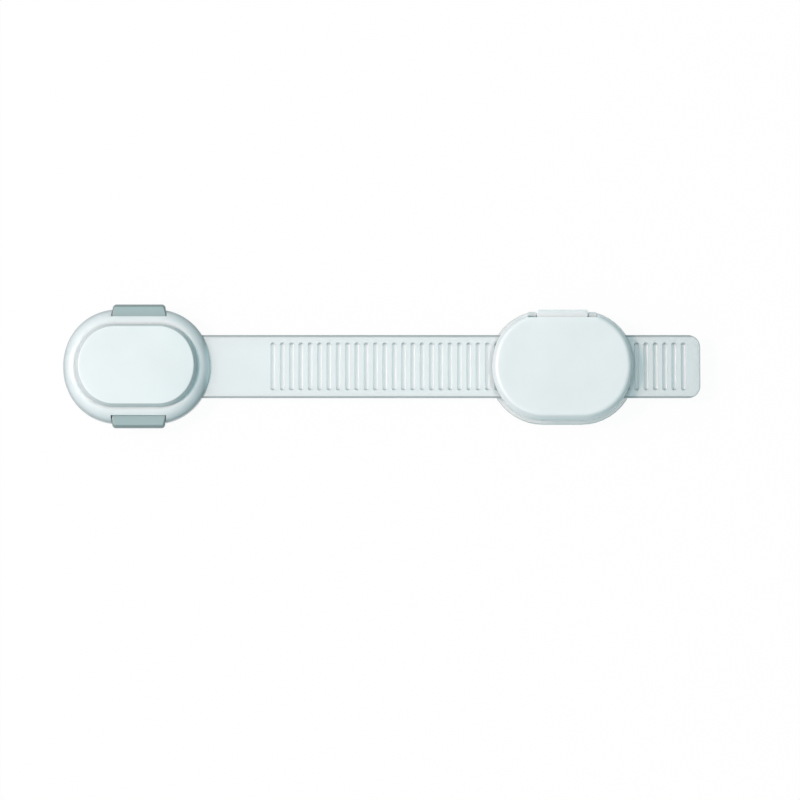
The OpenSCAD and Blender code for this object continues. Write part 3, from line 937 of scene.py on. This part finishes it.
@dataclass
class Latch:
    """Left puck: housing, raised panel, floor, base plate and catch clip."""

    finishes: Finishes
    corner_r: float = 16.2
    end_extra: float = 2.3
    wall: float = 1.8
    roof_t: float = 0.9
    shoulder_rise: float = 2.8
    foot_r: float = 0.35
    shoulder_slant: float = 1.3
    shoulder_steps: int = 14
    crest_h: float = 0.25
    crest_gap: float = 0.8
    crest_dip: float = 0.16
    valley_steps: int = 10
    skirt_run: float = 1.1
    skirt_slant: float = 1.15
    skirt_steps: int = 12
    panel_corner_gap: float = 1.3
    panel_end_extra: float = 1.0
    panel_crown: float = 0.3
    crown_share: float = 0.9
    crown_steps: int = 8
    plug_inset: float = 3.0
    fit: float = 0.1
    window_gap: float = 0.05
    window_run: float = 2.3
    window_sink: float = 0.2
    mouth_gap: float = 0.25
    mouth_r: float = 0.5
    mouth_in: float = 3.6
    press_clear: float = 0.05
    small_edge: float = 0.15
    glow_in: float = 0.4

    def __post_init__(self) -> None:
        """Read the places of the latch from the frame."""
        self.low, self.high = span("latch_housing")
        self.panel_low, self.panel_high = span("latch_cover")
        self.middle_x = (self.low.x + self.high.x) / 2
        size = self.high - self.low
        panel = self.panel_high - self.panel_low
        self.puck = Oval(self.middle_x, size.x, size.y, self.corner_r, self.end_extra)
        panel_r = panel.y / 2 - self.panel_corner_gap
        self.panel = Oval(self.middle_x, panel.x, panel.y, panel_r, self.panel_end_extra)
        self.seat_z = self.high.z - self.crest_h
        self.roof_z = self.seat_z - self.roof_t

    def build(self) -> None:
        """Build every piece of the latch but its buttons."""
        # The rim's painted edge shade fades out at its strap end: painted light, standing in for light through the
        # clear strap beneath.
        shell = replace(self.finishes.shell, glow_from=self.high.x - self.glow_in)
        self.housing().settle("latch_housing_shell", "latch_head", shell, "latch_housing")
        self.panel_plate().settle("latch_panel", "latch_head", self.finishes.panel, "latch_cover")
        for node, body in (("latch_floor", "latch_head"), ("latch_base", "latch_mount")):
            inner = Form.of_node(node).soften(self.small_edge)
            inner.settle(f"{node}_moulding", body, self.finishes.base, node)
        for side in Side:
            self.clip_arm(side)

    def clip_arm(self, side: Side) -> None:
        """Build one half of the catch clip.

        Args:
            side: Side of the latch.
        """
        low, high = span("catch_clip")
        near, far = sorted((0.0, -side.value * (high.y + OVERRUN)))
        other_low = (low.x - OVERRUN, near, low.z - OVERRUN)
        other_high = (high.x + OVERRUN, far, high.z + OVERRUN)
        half = Form.of_node("catch_clip").soften(self.small_edge).cut(Form.box(other_low, other_high))
        name = f"catch_clip_{side.word}_arm"
        piece = half.settle(name, "latch_mount", self.finishes.acetal, "catch_clip")
        joint = f"{side.word}_button_press"
        pressed_y = ButtonCap(self.finishes, side).stem_y - joint_travels(joint)[-1] - self.press_clear
        pressed_y / high.y
        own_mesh(piece)

    def housing(self) -> Form:
        """Form the rim, hollow it and open its windows and its strap mouth.

        Returns:
            The housing.
        """
        shoulder_z = self.high.z - self.shoulder_rise
        rings = self.puck.rings(foot_round(self.foot_r), self.low.z)
        outline = self.puck.ring(0, shoulder_z)
        crest = self.panel.ring(-self.crest_gap, shoulder_z)
        for share, rise in round_over(1, self.shoulder_rise, self.shoulder_steps, self.shoulder_slant):
            rings.append([a.lerp(b, share) + Vector((0, 0, rise)) for a, b in zip(outline, crest)])
        rings += self.valley()
        cavity = self.puck.column(self.wall, self.low.z - OVERRUN, self.roof_z)
        plug = self.panel.column(self.plug_inset - self.fit, self.roof_z - OVERRUN, self.high.z + OVERRUN)
        windows = [self.button_window(side) for side in Side]
        shell = Form.loft("housing", rings).cut(cavity, plug, self.strap_mouth(), *windows)
        return shell.soften(self.small_edge)

    def valley(self) -> list[Ring]:
        """Run from the crest of the rim down to the foot of the panel's skirt, and step to the panel's seat.

        Returns:
            The rings after the crest.
        """
        rings = []
        for k in range(1, self.valley_steps + 1):
            share = k / self.valley_steps
            sink = self.crest_dip * (1 - math.cos(math.pi * share)) / 2
            rings.append(self.panel.ring(self.crest_gap * (share - 1), self.high.z - sink))
        return rings + [self.panel.ring(self.fit, self.seat_z)]

    def strap_mouth(self) -> Form:
        """Form the slot that the strap enters by.

        Returns:
            The tool that cuts it.
        """
        low, high = span("strap")
        half = high.y + self.mouth_gap
        top = high.z + self.mouth_gap
        plan = rounded_plan((-half, low.z - self.fit), (half, top), self.mouth_r, self.mouth_r)
        start_x = span("latch_floor")[1].x - self.mouth_in
        return Form.prism(plan, (start_x, self.high.x + OVERRUN), Axis.X)

    def button_window(self, side: Side) -> Form:
        """Form the window of a button, open at the top.

        Args:
            side: Side of the latch.

        Returns:
            The tool that cuts it.
        """
        cap = ButtonCap(self.finishes, side)
        ys = (self.high.y - self.window_run, cap.wall_y, cap.outer_y - cap.corner_r)
        right = [(cap.half_width(y) + self.window_gap, y) for y in ys]
        plan = right + [(-x, y) for x, y in reversed(right)]
        placed = [(cap.middle_x + x, side.value * y) for x, y in plan]
        return Form.prism(placed, (cap.low.z - self.window_sink, self.high.z + OVERRUN))

    def panel_plate(self) -> Form:
        """Form the raised panel: sloped skirt, faint crown and the plug below.

        Returns:
            The panel.
        """
        edge_z = self.panel_high.z - self.panel_crown
        foot_z = self.high.z - self.crest_dip
        skirt = round_over(self.skirt_run, edge_z - foot_z, self.skirt_steps, self.skirt_slant)
        rings = self.panel.rings(skirt, foot_z)
        reach = self.panel.corner_r * self.crown_share - self.skirt_run
        for k in range(1, self.crown_steps + 1):
            share = k / self.crown_steps
            rise = self.panel_crown * share * (2 - share)
            rings.append(self.panel.ring(self.skirt_run + reach * share, edge_z + rise))
        plug = self.panel.column(self.plug_inset, self.panel_low.z, self.seat_z + OVERRUN)
        return Form.loft("panel", rings).join(plug)


@dataclass
class ButtonCap:
    """Squeeze button of one side: a round-cornered cap, a flange and a stem."""

    finishes: Finishes
    side: Side
    flange_ear: float = 1.6
    flange_t: float = 1.75
    taper: float = 0.3
    corner_r: float = 1.1
    edge_r: float = 1.4
    section_r: float = 0.5
    tip_r: float = 1.1
    round_share: float = 0.9
    end_steps: int = 14
    wall_y: float = 15.4
    stem_l: float = 8.4
    flange_y: float = 14.37
    peg_l: float = 1.2
    peg_r: float = 0.55
    peg_sides: int = 20
    spring_x: float = 7.6
    small_edge: float = 0.2
    top_rise: float = 0.22

    def __post_init__(self) -> None:
        """Read the button's place from the frame."""
        self.node = f"{self.side.word}_button"
        self.low, self.high = span(self.node)
        self.high.z += self.top_rise
        self.middle_x = (self.low.x + self.high.x) / 2
        self.width = self.high.x - self.low.x - 2 * self.flange_ear
        self.outer_y = max(abs(self.low.y), abs(self.high.y))
        self.stem_y = min(abs(self.low.y), abs(self.high.y))
        self.inner_y = self.flange_y - self.flange_t
        self.middle_z = (self.low.z + self.high.z) / 2

    def half_width(self, y: float) -> float:
        """Give half the cap's width at a place along its travel.

        Args:
            y: Distance from the middle of the latch.

        Returns:
            Half the width.
        """
        straight = self.outer_y - self.corner_r
        if y <= self.wall_y:
            return self.width / 2
        if y <= straight:
            return self.width / 2 - self.taper * (y - self.wall_y) / (straight - self.wall_y)
        past = min(self.corner_r, y - straight)
        return self.width / 2 - self.taper - self.corner_r + math.sqrt(self.corner_r**2 - past**2)

    def section(self, y: float) -> Ring:
        """Draw the cap's section at a place along its travel.

        Args:
            y: Distance from the middle of the latch.

        Returns:
            The points of a rounded rectangle.
        """
        past = min(self.edge_r, max(0.0, y - (self.outer_y - self.edge_r)))
        draw_in = self.edge_r - math.sqrt(self.edge_r**2 - past**2)
        half = self.half_width(y)
        half_h = (self.high.z - self.low.z) / 2 - draw_in
        share = min(1.0, max(0.0, (y - self.wall_y) / (self.outer_y - self.wall_y)))
        r = min(self.section_r + (self.tip_r - self.section_r) * share, half_h * self.round_share)
        plan = rounded_plan((-half, -half_h), (half, half_h), r, r)
        return [Vector((self.middle_x + x, self.side.value * y, self.middle_z + z)) for x, z in plan]

    def build(self) -> None:
        """Build the button."""
        ends = [self.outer_y - self.corner_r * (1 - math.sin(t)) for t in quarter_turn(self.end_steps)]
        middle = (self.wall_y + ends[0]) / 2
        cap = Form.loft(self.node, [self.section(y) for y in (self.inner_y, self.wall_y, middle, *ends)])
        half_flange = self.width / 2 + self.flange_ear
        blocks = ((half_flange, self.inner_y, self.flange_y), (self.stem_l / 2, self.stem_y, self.flange_y))
        inset = self.small_edge / 2
        for half, near, far in blocks:
            ys = sorted((self.side.value * near, self.side.value * far))
            low = (self.middle_x - half, ys[0], self.low.z + inset)
            high = (self.middle_x + half, ys[1], self.high.z - inset)
            cap.join(Form.box(low, high).soften(self.small_edge))
        for hand in Hand:
            x = self.middle_x + hand.value * self.spring_x
            start = Vector((x, self.side.value * (self.inner_y + OVERRUN), self.middle_z))
            end = Vector((x, self.side.value * (self.inner_y - self.peg_l), self.middle_z))
            length = (end - start).length
            tip = (length, self.peg_r - self.small_edge)
            profile = [(0, self.peg_r), (length - self.small_edge, self.peg_r), tip]
            cap.join(Form.bar(start, end, profile, self.peg_sides))
        cap.settle(f"{self.node}_cap", f"{self.side.word}_squeeze", self.finishes.button, self.node)


@dataclass
class ReturnSpring:
    """Wound return spring of a button: a straight stub, the curls and another stub."""

    finishes: Finishes
    side: Side
    hand: Hand
    wire_d: float = 0.4
    curls: int = 4
    points_per_curl: int = 28
    wire_sides: int = 10

    def __post_init__(self) -> None:
        """Read the spring's place from the frame."""
        self.node = f"{self.side.word}_spring_{self.hand.word}"
        self.low, self.high = span(self.node)

    def build(self) -> None:
        """Build the spring with its own node tree."""
        size = self.high - self.low
        middle = (self.low + self.high) / 2
        start_y = self.low.y if self.side is Side.REAR else self.high.y
        board = GeometryBoard(self.node)
        curls = board.input("Curls", "Int", self.curls)
        count = board.input("Points", "Int", self.curls * self.points_per_curl)
        wire_r = board.input("Wire radius", "Float", self.wire_d / 2)
        path_r = board.input("Coil radius", "Float", (size.z - self.wire_d) / 2)
        length = board.input("Length", "Float", size.y)
        heading = board.input("Heading", "Float", float(self.side.value))
        place = board.input("Place", "Vector", (middle.x, start_y, middle.z))
        material = board.input("Finish", "Material", self.finishes.steel.material())
        line = board.wire("GeometryNodeCurvePrimitiveLine")
        points = board.wire("GeometryNodeResampleCurve", {"Curve": line, "Count": count})
        share = board.wire("GeometryNodeSplineParameter", output="Factor")
        stub = wire_r * 2
        turn = board.clamp((share * length - stub) / (length - stub * 2)) * curls * (2 * math.pi)
        across, up = (path_r * board.math(part, turn) for part in ("COSINE", "SINE"))
        spot = board.combine(across, share * length * heading, up)
        moved = board.wire("ShaderNodeVectorMath", {0: spot, 1: place}, operation="ADD")
        path = board.wire("GeometryNodeSetPosition", {"Geometry": points, "Position": moved})
        sockets = {"Resolution": self.wire_sides, "Radius": wire_r}
        ring = board.wire("GeometryNodeCurvePrimitiveCircle", sockets)
        sockets = {"Curve": path, "Profile Curve": ring, "Fill Caps": True}
        board.close(board.wire("GeometryNodeCurveToMesh", sockets), material)
        blank = Form(bpy.data.meshes.new(self.node))
        coil = board.run(blank).settle(f"{self.node}_coil", "latch_head", self.finishes.steel, self.node)
        joint = f"{self.side.word}_button_press"
        1 - joint_travels(joint)[-1] / size.y
        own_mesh(coil)


@dataclass
class LadderStrap:
    """Clear strap with a ladder of pockets, a plain zone and a round-cornered tail."""

    finishes: Finishes
    tail_r: float = 3.6
    corner_steps: int = 10
    end_r: float = 0.5
    edge_r: float = 0.45
    edge_steps: int = 5
    pocket_l: float = 14.5
    pocket_w: float = 1.5
    pocket_depth: float = 0.8
    pocket_pitch: float = 2.8
    pocket_draft: float = 0.4
    draft_steps: int = 3
    pocket_steps: int = 5
    round_share: float = 0.98
    plain_l: float = 18.8
    tail_plain_l: float = 3.9
    peg_in: float = 2.3
    peg_y: float = 5.5
    hole_r: float = 1.6

    def __post_init__(self) -> None:
        """Read the strap's place from the frame."""
        self.low, self.high = span("strap")
        latch_end = span("latch_housing")[1].x
        self.first_x = latch_end + self.plain_l
        self.count = math.floor((self.high.x - self.tail_plain_l - self.first_x) / self.pocket_pitch) + 1

    def outline(self, inset: float, z: float) -> Ring:
        """Draw the strap's outline at a height.

        Args:
            inset: How far it is drawn in.
            z: Height of the ring.

        Returns:
            The points in turn.
        """
        low = (self.low.x + inset, self.low.y + inset)
        high = (self.high.x - inset, self.high.y - inset)
        return lay(rounded_plan(low, high, self.end_r - inset, self.tail_r - inset, self.corner_steps), z)

    def blank(self) -> Form:
        """Form the strap without its pockets, with round edges and peg holes.

        Returns:
            The blank.
        """
        over = round_over(self.edge_r, self.edge_r, self.edge_steps)
        rings = [self.outline(i, self.low.z + self.edge_r - h) for i, h in reversed(over)]
        rings += [self.outline(i, self.high.z - self.edge_r + h) for i, h in over]
        holes = []
        for y in (-self.peg_y, self.peg_y):
            start = Vector((self.low.x + self.peg_in, y, self.low.z - OVERRUN))
            end = Vector((start.x, y, self.high.z + OVERRUN))
            holes.append(Form.bar(start, end, [(0, self.hole_r), ((end - start).length, self.hole_r)]))
        return Form.loft("strap", rings).cut(*holes)

    def pocket(self) -> Form:
        """Form the tool of one pocket at the origin of the strap's upper face.

        Returns:
            The tool.
        """
        rings = []
        floor = round_over(self.pocket_draft, self.pocket_draft, self.draft_steps)
        levels = [(0.0, OVERRUN), (0.0, 0.0)]
        levels += [(i, self.pocket_draft - self.pocket_depth - h) for i, h in floor]
        for inset, z in levels:
            half_w = self.pocket_w / 2 - inset
            half_l = self.pocket_l / 2 - inset
            r = half_w * self.round_share
            plan = rounded_plan((-half_w, -half_l), (half_w, half_l), r, r, self.pocket_steps)
            rings.append(lay(plan, z))
        return Form.loft("pocket", rings)

    def build(self) -> None:
        """Cut the ladder into the strap with a node tree and settle it."""
        blank, tool = self.blank(), self.pocket()
        # The tail's painted shade is measured from the strap's far end.
        clear = replace(self.finishes.clear, tail_x=self.high.x)
        board = GeometryBoard("ladder_pockets")
        count = board.input("Pockets", "Int", self.count)
        pitch = board.input("Pitch", "Float", self.pocket_pitch)
        first = board.input("First pocket", "Vector", (self.first_x, 0.0, self.high.z))
        cutter = board.input("Pocket tool", "Object", tool.thing)
        material = board.input("Finish", "Material", clear.material())
        sockets = {"Count": count, "Start Location": first, "Offset": board.combine(pitch, 0, 0)}
        row = board.wire("GeometryNodeMeshLine", sockets, mode="OFFSET")
        shape = board.wire("GeometryNodeObjectInfo", {"Object": cutter}, "Geometry")
        tools = board.wire("GeometryNodeInstanceOnPoints", {"Points": row, "Instance": shape})
        whole = board.wire("GeometryNodeRealizeInstances", {"Geometry": tools})
        inlet = Wire(board, board.inlet.outputs["Geometry"])
        sockets = {"Mesh 1": inlet, "Mesh 2": whole}
        ladder = board.wire("GeometryNodeMeshBoolean", sockets, operation="DIFFERENCE", solver="EXACT")
        board.close(ladder, material)
        board.run(blank)
        tool.remove()
        blank.settle("ladder_strap", "latch_head", clear, "strap")


@dataclass
class Anchor:
    """Right puck: clear base, hinged cover, pawl and hinge pin."""

    finishes: Finishes
    corner_r: float = 16.2
    end_extra: float = 2.3
    cover_inset: float = 1.0
    wall: float = 1.6
    edge_r: float = 2.0
    foot_r: float = 0.3
    knuckle_l: float = 15.2
    knuckle_r: float = 1.7
    knuckle_sides: int = 48
    knuckle_sink_share: float = 0.8
    arm_low_share: float = 0.3
    arm_high_share: float = 0.8
    notch_room: float = 0.4
    notch_r: float = 0.5
    notch_reach: float = 1.12
    mouth_half: float = 10.1
    mouth_z: float = 6.4
    thumb_l: float = 13.0
    thumb_depth: float = 0.8
    thumb_h: float = 3.2
    thumb_r: float = 1.2
    bore_r: float = 0.55
    pin_r: float = 0.5
    rib_t: float = 2.0
    rib_l: float = 12.0
    press_gap: float = 0.2
    pawl_t: float = 0.8
    pawl_tip: float = 1.4
    tooth_count: int = 3
    tooth_pitch: float = 2.8
    tooth_w: float = 1.0
    tooth_sink: float = 0.3
    tooth_clear: float = 0.05
    small_edge: float = 0.15

    def __post_init__(self) -> None:
        """Read the anchor's places from the frame."""
        self.base_low, self.base_high = span("anchor_base")
        self.low, self.high = span("anchor_cover")
        self.pin_low, self.pin_high = span("hinge_pin")
        self.hinge = joint_place("cover_open")
        self.half_w = -self.base_low.y
        length = self.base_high.x - self.base_low.x
        self.puck = Oval(self.hinge.x, length, 2 * self.half_w, self.corner_r, self.end_extra)
        self.roof_z = self.high.z - self.wall
        self.notch_half = (self.pin_high.x - self.pin_low.x) / 2 + self.notch_room
        self.back_y = self.hinge.y - self.knuckle_r * self.knuckle_sink_share

    def build(self) -> None:
        """Build every piece of the anchor but its pad."""
        # The cover's painted edge shade fades out past the hinge line, over the back of the knuckle, which is
        # painted lighter.
        finish = replace(self.finishes.cover, glow_from=self.hinge.y, glow_axis=Axis.Y)
        self.cover().settle("anchor_cover_shell", "anchor_lid", finish, "anchor_cover")
        base = Form.of_node("anchor_base").soften(self.small_edge)
        base.settle("anchor_base_plate", "anchor", self.finishes.flange, "anchor_base")
        self.pawl()
        self.pin()

    def cover(self) -> Form:
        """Form the cover: a shell with strap mouths, a knuckle at the rear and a thumb recess in front.

        Returns:
            The cover.
        """
        foot, edge = foot_round(self.foot_r), round_over(self.edge_r, self.edge_r)
        rings = []
        for steps, z in ((foot, self.low.z), (edge, self.high.z - self.edge_r)):
            rings += self.puck.rings([(self.cover_inset + i, h) for i, h in steps], z)
        shell = Form.loft("cover", rings)
        shell.cut(self.hollow(), *self.openings())
        x = self.hinge.x
        half = self.knuckle_l / 2
        arm_low = self.hinge.z - self.knuckle_r * self.arm_low_share
        arm_high = self.hinge.z + self.knuckle_r * self.arm_high_share
        arm = Form.box((x - half, self.back_y - OVERRUN, arm_low), (x + half, self.hinge.y, arm_high))
        start = Vector((x - half, self.hinge.y, self.hinge.z))
        end = Vector((x + half, self.hinge.y, self.hinge.z))
        profile = chamfered(self.knuckle_l, self.knuckle_r, self.small_edge)
        shell.soften(self.small_edge)
        shell.join(arm, Form.bar(start, end, profile, self.knuckle_sides))
        ahead = Vector((OVERRUN, 0, 0))
        length = self.knuckle_l + 2 * OVERRUN
        shell.cut(Form.bar(start - ahead, end + ahead, [(0, self.bore_r), (length, self.bore_r)]))
        return shell.join(self.press_rib())

    def hollow(self) -> Form:
        """Form the inside of the cover, which stops at the wall in front of the hinge.

        Returns:
            The tool that cuts it.
        """
        room = self.puck.column(self.cover_inset + self.wall, self.low.z - OVERRUN, self.roof_z)
        half = self.notch_half + self.wall
        low = (self.hinge.x - half, self.back_y - self.wall, self.low.z - 2 * OVERRUN)
        high = (self.hinge.x + half, self.half_w, self.roof_z + OVERRUN)
        return room.cut(Form.box(low, high))

    def openings(self) -> list[Form]:
        """Form the hinge's notch, the strap's way through both ends and the thumb recess in front.

        Returns:
            The tools that cut them.
        """
        x, half = self.hinge.x, self.thumb_l / 2
        under = self.low.z - 2 * OVERRUN
        back = self.hinge.y - self.notch_reach
        notch = (x - self.notch_half, back), (x + self.notch_half, self.half_w + OVERRUN)
        slot = (-self.mouth_half, under), (self.mouth_half, self.mouth_z)
        thumb = (x - half, under), (x + half, self.low.z + self.thumb_h)
        cuts = (
            (notch, self.notch_r, Axis.Z, (self.low.z - OVERRUN, self.high.z + OVERRUN)),
            (slot, self.notch_r, Axis.X, (self.base_low.x - OVERRUN, self.base_high.x + OVERRUN)),
            (thumb, self.thumb_r, Axis.Y, (self.low.y - OVERRUN, self.low.y + self.thumb_depth)),
        )
        return [Form.prism(rounded_plan(*corners, r, r), ends, axis) for corners, r, axis, ends in cuts]

    def pawl(self) -> None:
        """Build the pawl: a tongue and a row of teeth."""
        low, high = span("strap_pawl")
        under_z = high.z - self.pawl_t
        room = Vector((OVERRUN, OVERRUN, OVERRUN))
        below = Form.box(low - room, (*(high + room).xy, under_z))
        tongue = Form.of_node("strap_pawl").cut(below).soften(self.small_edge)
        tongue.settle("strap_pawl_tongue", "anchor", self.finishes.acetal, "strap_pawl")
        half_w, half_l = self.tooth_w / 2, self.rib_l / 2
        places = [low.x + self.pawl_tip + k * self.tooth_pitch for k in range(self.tooth_count)]
        root_z = under_z + self.tooth_sink
        first, *rest = (Form.box((x - half_w, -half_l, low.z), (x + half_w, half_l, root_z)) for x in places)
        teeth = first.join(*rest).soften(self.small_edge)
        piece = teeth.settle("strap_pawl_teeth", "anchor", self.finishes.acetal, "strap_pawl")
        joint = "strap_adjust"
        near, far = joint_travels(joint)
        clear_z = span("strap")[1].z + self.tooth_clear
        drawn = (clear_z - low.z) / (high.z - low.z)
        1 - drawn * far / near
        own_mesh(piece)

    def press_rib(self) -> Form:
        """Form the rib under the roof that presses the pawl down.

        Returns:
            The rib.
        """
        pawl_low, pawl_high = span("strap_pawl")
        tooth_x = pawl_low.x + self.pawl_tip + self.tooth_pitch
        low = (tooth_x - self.rib_t / 2, -self.rib_l / 2, pawl_high.z + self.press_gap)
        high = (tooth_x + self.rib_t / 2, self.rib_l / 2, self.roof_z + OVERRUN)
        return Form.box(low, high)

    def pin(self) -> None:
        """Build the hinge pin, chamfered at both ends."""
        length = self.pin_high.x - self.pin_low.x
        start = Vector((self.pin_low.x, self.hinge.y, self.hinge.z))
        end = start + Vector((length, 0, 0))
        rod = Form.bar(start, end, chamfered(length, self.pin_r, self.small_edge))
        rod.settle("hinge_pin_rod", "anchor", self.finishes.steel, "hinge_pin")


@dataclass
class Studio:
    """White table, soft light from the upper left and a camera almost straight above."""

    floor_size: float = 4000.0
    floor_drop: float = 0.05
    view_centre: tuple[float, float, float] = (5.5, -10.15, 6.0)
    view_width: float = 240.0
    view_distance: float = 1600.0
    elevation: float = 84.5
    sensor: float = 36.0
    key_level: float = 0.32
    key_colour: Colour = (1.58, 1.0, 0.92)
    key_from: tuple[float, float, float] = (-0.67, 0.08, 0.738)
    key_distance: float = 1800.0
    key_size: float = 360.0
    zenith_level: float = 0.5
    horizon_level: float = 0.86
    fill_lean: float = 0.6
    fill_colour: Colour = (0.7, 1.0, 1.03)
    floor_glow: float = 0.95
    floor_seen: Colour = (0.95, 0.95, 0.95)
    floor_bounce: Colour = (0.8, 0.85, 0.86)

    def build(self) -> None:
        """Set up the table, the light and the camera."""
        bpy.context.scene.view_settings.view_transform = "Standard"
        self.table()
        self.world()
        self.key()
        self.camera()

    @staticmethod
    def seen(board: Board) -> Wire:
        """Tell whether the camera sees a surface, directly, in gloss or through clear plastic.

        Args:
            board: Board of the surface.

        Returns:
            1 where it is seen, or else 0.
        """
        path = board.add("ShaderNodeLightPath")
        camera, gloss, through = (
            Wire(board, path.outputs[f"Is {kind} Ray"]) for kind in ("Camera", "Glossy", "Transmission")
        )
        return board.math("MAXIMUM", camera, board.math("MAXIMUM", gloss, through))

    def table(self) -> None:
        """Lay the white table that keeps the object's shadow."""
        half = self.floor_size / 2
        mesh = bpy.data.meshes.new("table")
        corners = [(x * half, y * half, -self.floor_drop) for x, y in ((-1, -1), (1, -1), (1, 1), (-1, 1))]
        mesh.from_pydata([Vector(c) * MM for c in corners], [], [(0, 1, 2, 3)])
        table = bpy.data.objects.new("table", mesh)
        bpy.context.scene.collection.objects.link(table)
        board = ShaderBoard("table_white")
        seen = self.seen(board)
        paint = board.blend(seen, self.floor_bounce, self.floor_seen)
        matt = board.wire("ShaderNodeBsdfDiffuse", {"Color": paint})
        glow = board.wire("ShaderNodeEmission", {"Color": (*WHITE, 1), "Strength": 1.0})
        mixed = board.wire("ShaderNodeMixShader", {0: seen * self.floor_glow, 1: matt, 2: glow})
        mesh.materials.append(board.close(mixed))

    def world(self) -> None:
        """Fill the room with light from above that fades to the horizon, white where the camera sees it."""
        world = bpy.data.worlds.new("room")
        world.use_nodes = True
        bpy.context.scene.world = world
        board = Board(world.node_tree)
        board.tree.nodes.clear()
        heading = board.wire("ShaderNodeTexCoord", output="Generated")
        sideways, _, up = board.split(heading)
        rise = board.clamp(up)
        lean = 1 - sideways * self.fill_lean
        glow = (self.horizon_level + rise * rise * (self.zenith_level - self.horizon_level)) * lean
        fill = board.combine(*(glow * part for part in self.fill_colour))
        colour = board.blend(self.seen(board), fill, WHITE)
        light = board.wire("ShaderNodeBackground", {"Color": colour, "Strength": 1.0})
        board.add("ShaderNodeOutputWorld", {"Surface": light})

    def key(self) -> None:
        """Hang the soft key light."""
        heading = Vector(self.key_from).normalized()
        light = bpy.data.lights.new("key", "AREA")
        light.shape = "DISK"
        light.size = self.key_size * MM
        light.color = self.key_colour
        light.energy = self.key_level * (math.pi * self.key_distance * MM) ** 2 / heading.z
        lamp = bpy.data.objects.new("key", light)
        lamp.location = heading * self.key_distance * MM
        lamp.rotation_euler = (-heading).to_track_quat("-Z", "Y").to_euler()
        bpy.context.scene.collection.objects.link(lamp)

    def camera(self) -> None:
        """Place the camera over the front edge, far off, with a long lens."""
        rise = math.radians(self.elevation)
        back = Vector((0, -math.cos(rise), math.sin(rise)))
        lens = bpy.data.cameras.new("camera")
        lens.sensor_width = self.sensor
        lens.lens = self.sensor * self.view_distance / self.view_width
        eye = bpy.data.objects.new("camera", lens)
        eye.location = (Vector(self.view_centre) + back * self.view_distance) * MM
        eye.rotation_euler = (-back).to_track_quat("-Z", "Y").to_euler()
        bpy.context.scene.collection.objects.link(eye)
        bpy.context.scene.camera = eye


def main() -> None:
    """Build the lock's pieces in order and set up the studio."""
    logging.basicConfig(level=logging.INFO, format="%(name)s: %(message)s")
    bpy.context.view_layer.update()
    Studio().build()
    finishes = Finishes()
    FoamPads(finishes).build()
    Latch(finishes).build()
    for side in Side:
        ButtonCap(finishes, side).build()
        for hand in Hand:
            ReturnSpring(finishes, side, hand).build()
    LadderStrap(finishes).build()
    Anchor(finishes).build()


if __name__ == "__main__":
    main()
